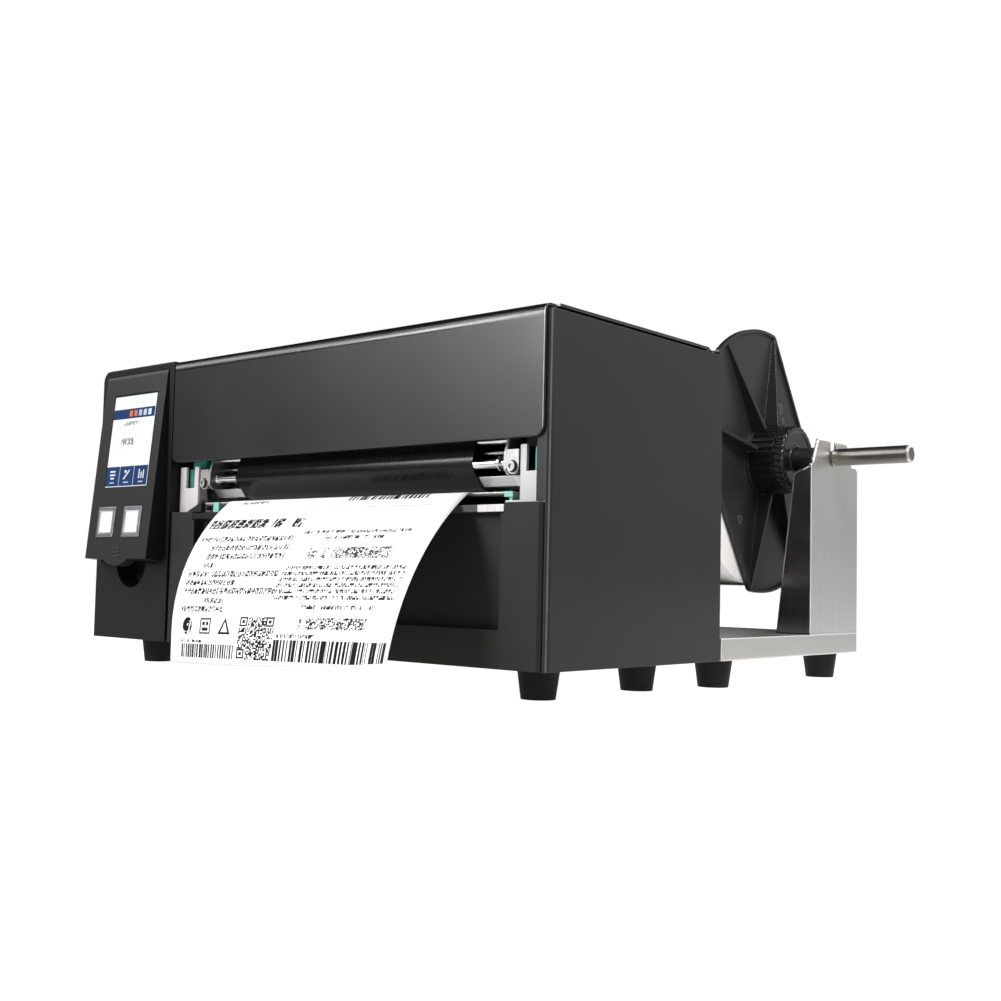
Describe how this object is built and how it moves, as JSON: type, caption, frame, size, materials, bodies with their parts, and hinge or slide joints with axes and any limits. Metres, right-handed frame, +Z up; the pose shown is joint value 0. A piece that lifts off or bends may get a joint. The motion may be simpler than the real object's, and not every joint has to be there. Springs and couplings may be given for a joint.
{
  "type": "industrial label printer",
  "caption": "Wide industrial label printer with a hinged lid, a tilting control column, a ribbon head and a stainless roll stand behind it.",
  "frame": {"origin": "on the table under the middle of the whole, printer and roll stand together", "axes": "+X across the label to the operator's right, +Y from the label slot to the roll stand, +Z up"},
  "size_m": [0.4934, 0.4924, 0.2642],
  "materials": {
    "painted_sheet": "satin powder coat",
    "dark_plastic": "fine texture",
    "black_plastic": "satin",
    "frame_steel": "plated",
    "stand_steel": "brushed",
    "bright_steel": "polished",
    "teal_plastic": "smooth",
    "bush_brass": "turned",
    "motor_black": "satin",
    "black_rubber": "matte",
    "circuit_board": "solder mask",
    "label_paper": "smooth coated",
    "core_board": "matte",
    "display_glass": "glossy",
    "key_chrome": "bright",
    "key_white": "smooth",
    "head_aluminium": "extruded",
    "ribbon": "satin film"
  },
  "bodies": {
    "chassis": {"base_pan": "painted_sheet", "right_side_cover": "painted_sheet", "left_cover": "painted_sheet", "rear_panel": "painted_sheet", "front_lower_cover": "dark_plastic", "column_bezel": "dark_plastic", "left_frame_plate": "frame_steel", "right_frame_plate": "frame_steel", "bracket_left": "bright_steel", "bracket_right": "bright_steel", "tear_plate": "bright_steel", "apron_strip": "bright_steel", "plate_clips": "teal_plastic", "hinge_pins": "bright_steel", "head_pivot_shaft": "bright_steel", "media_guide_bar": "bright_steel", "platen_bearings": "bush_brass", "drive_motor": "motor_black", "drive_belt": "black_rubber", "main_board": "circuit_board", "power_supply": "frame_steel", "interface_ports": "frame_steel", "power_inlet": "dark_plastic", "printer_feet": "black_rubber", "stand_base": "stand_steel", "stand_upright_left": "stand_steel", "stand_upright_right": "stand_steel", "stand_feet": "black_rubber", "stand_screws": "bright_steel", "label_web": "label_paper"},
    "lid": {"lid": "painted_sheet"},
    "control_panel": {"panel_shell": "dark_plastic", "panel_back": "dark_plastic", "screen_module": "display_glass", "key_frames": "key_chrome"},
    "left_key": {"key_left": "key_white"},
    "right_key": {"key_right": "key_white"},
    "left_lever": {"release_lever_left": "teal_plastic"},
    "right_lever": {"release_lever_right": "teal_plastic"},
    "head": {"head_carrier": "head_aluminium", "print_head": "circuit_board", "ribbon_rods": "bright_steel", "rod_plates": "bright_steel", "ribbon_film": "ribbon"},
    "ribbon_supply": {"supply_spindle": "black_plastic", "supply_ribbon": "ribbon"},
    "ribbon_rewind": {"rewind_spindle": "black_plastic", "rewind_ribbon": "ribbon"},
    "platen": {"platen_roller": "black_rubber", "platen_shaft": "bright_steel", "platen_pulley": "bright_steel"},
    "motor_rotor": {"motor_pulley": "bright_steel"},
    "media_roll": {"roll_shaft": "stand_steel", "roll_core": "core_board", "paper_roll": "label_paper", "flange_left": "black_plastic", "flange_right": "black_plastic"},
    "left_knob": {"lock_knob_left": "black_plastic"},
    "right_knob": {"lock_knob_right": "black_plastic"},
    "rocker": {"power_switch": "black_plastic"}
  },
  "joints": [
    {"name": "lid_hinge", "type": "hinge", "parent": "chassis", "child": "lid", "pos_m": [0, -0.02358, 0.2124], "axis": [-1, 0, 0], "range_deg": [0, 95]},
    {"name": "panel_tilt", "type": "hinge", "parent": "chassis", "child": "control_panel", "pos_m": [-0.20125, -0.18738, 0.2098], "axis": [-1, 0, 0], "range_deg": [-5.5, 20]},
    {"name": "left_key_press", "type": "slide", "parent": "control_panel", "child": "left_key", "axis": [0, 0.9954, -0.0958], "range_m": [0, 0.001], "stiffness_N_per_m": 800},
    {"name": "right_key_press", "type": "slide", "parent": "control_panel", "child": "right_key", "axis": [0, 0.9954, -0.0958], "range_m": [0, 0.001], "stiffness_N_per_m": 800},
    {"name": "head_lift", "type": "hinge", "parent": "chassis", "child": "head", "pos_m": [0, -0.07358, 0.14], "axis": [-1, 0, 0], "range_deg": [0, 2.5]},
    {"name": "left_lever_tilt", "type": "hinge", "parent": "chassis", "child": "left_lever", "pos_m": [-0.14235, -0.17558, 0.1165], "axis": [-1, 0, 0], "range_deg": [0, 25]},
    {"name": "right_lever_tilt", "type": "hinge", "parent": "chassis", "child": "right_lever", "pos_m": [0.17185, -0.17558, 0.1165], "axis": [-1, 0, 0], "range_deg": [0, 25]},
    {"name": "supply_spin", "type": "hinge", "parent": "chassis", "child": "ribbon_supply", "pos_m": [0.01475, -0.11958, 0.178], "axis": [1, 0, 0], "continuous": true},
    {"name": "rewind_spin", "type": "hinge", "parent": "chassis", "child": "ribbon_rewind", "pos_m": [0.01475, -0.06558, 0.186], "axis": [1, 0, 0], "continuous": true},
    {"name": "platen_spin", "type": "hinge", "parent": "chassis", "child": "platen", "pos_m": [0.01475, -0.15958, 0.1062], "axis": [1, 0, 0], "continuous": true},
    {"name": "motor_spin", "type": "hinge", "parent": "chassis", "child": "motor_rotor", "pos_m": [-0.15775, -0.10758, 0.06], "axis": [1, 0, 0], "continuous": true},
    {"name": "roll_spin", "type": "hinge", "parent": "chassis", "child": "media_roll", "pos_m": [0.01475, 0.14842, 0.1627], "axis": [1, 0, 0], "continuous": true},
    {"name": "left_knob_turn", "type": "hinge", "parent": "media_roll", "child": "left_knob", "pos_m": [-0.11025, 0.14842, 0.1627], "axis": [-1, 0, 0], "range_deg": [0, 90]},
    {"name": "right_knob_turn", "type": "hinge", "parent": "media_roll", "child": "right_knob", "pos_m": [0.13975, 0.14842, 0.1627], "axis": [1, 0, 0], "range_deg": [0, 90]},
    {"name": "switch_rock", "type": "hinge", "parent": "chassis", "child": "rocker", "pos_m": [-0.18475, -0.01408, 0.052], "axis": [1, 0, 0], "range_deg": [-8, 8]}
  ],
  "couplings": [
    {"joint": "left_lever_tilt", "follows": "head_lift", "ratio": 10},
    {"joint": "right_lever_tilt", "follows": "head_lift", "ratio": 10},
    {"joint": "motor_spin", "follows": "platen_spin", "ratio": 1.7273}
  ]
}
